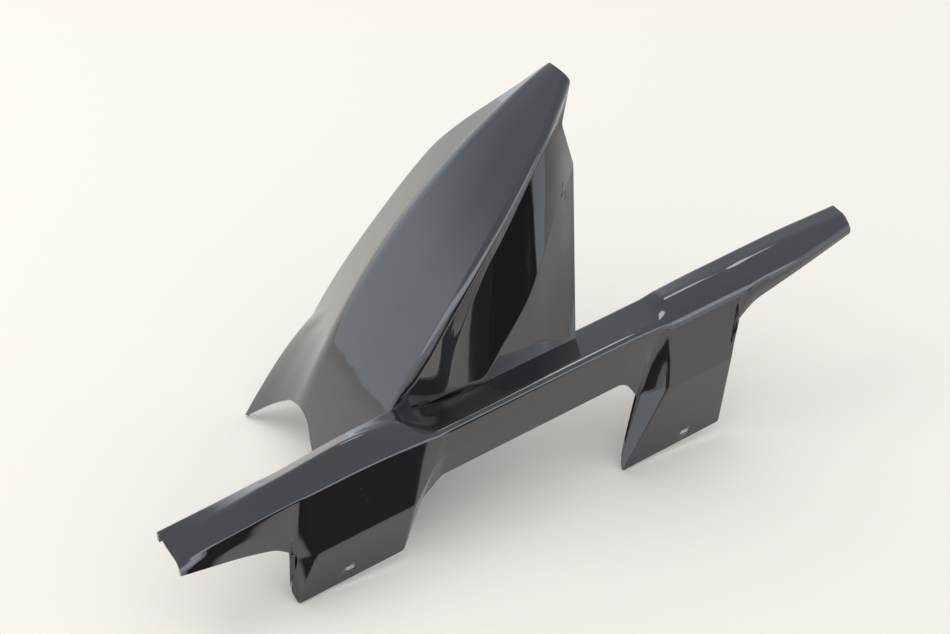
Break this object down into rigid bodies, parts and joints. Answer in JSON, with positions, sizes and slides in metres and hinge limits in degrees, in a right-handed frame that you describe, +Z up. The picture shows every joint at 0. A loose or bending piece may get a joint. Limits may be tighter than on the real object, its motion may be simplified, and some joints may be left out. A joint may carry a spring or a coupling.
{
  "type": "rear hugger mudguard",
  "caption": "Gloss black hugger mudguard: a swingarm cover with slotted side tabs and a creased arch over the rear tyre, moulded as one thin shell.",
  "frame": {"origin": "on the surface the part lies on, under the middle of its footprint", "axes": "+X rearwards along the swingarm cover, +Y from the outer face towards the tyre, +Z up from the surface it lies on"},
  "size_m": [0.6134, 0.2238, 0.3],
  "materials": {
    "shell": "gloss black moulded plastic"
  },
  "bodies": {
    "root": {"mudguard": "shell"}
  },
  "joints": []
}
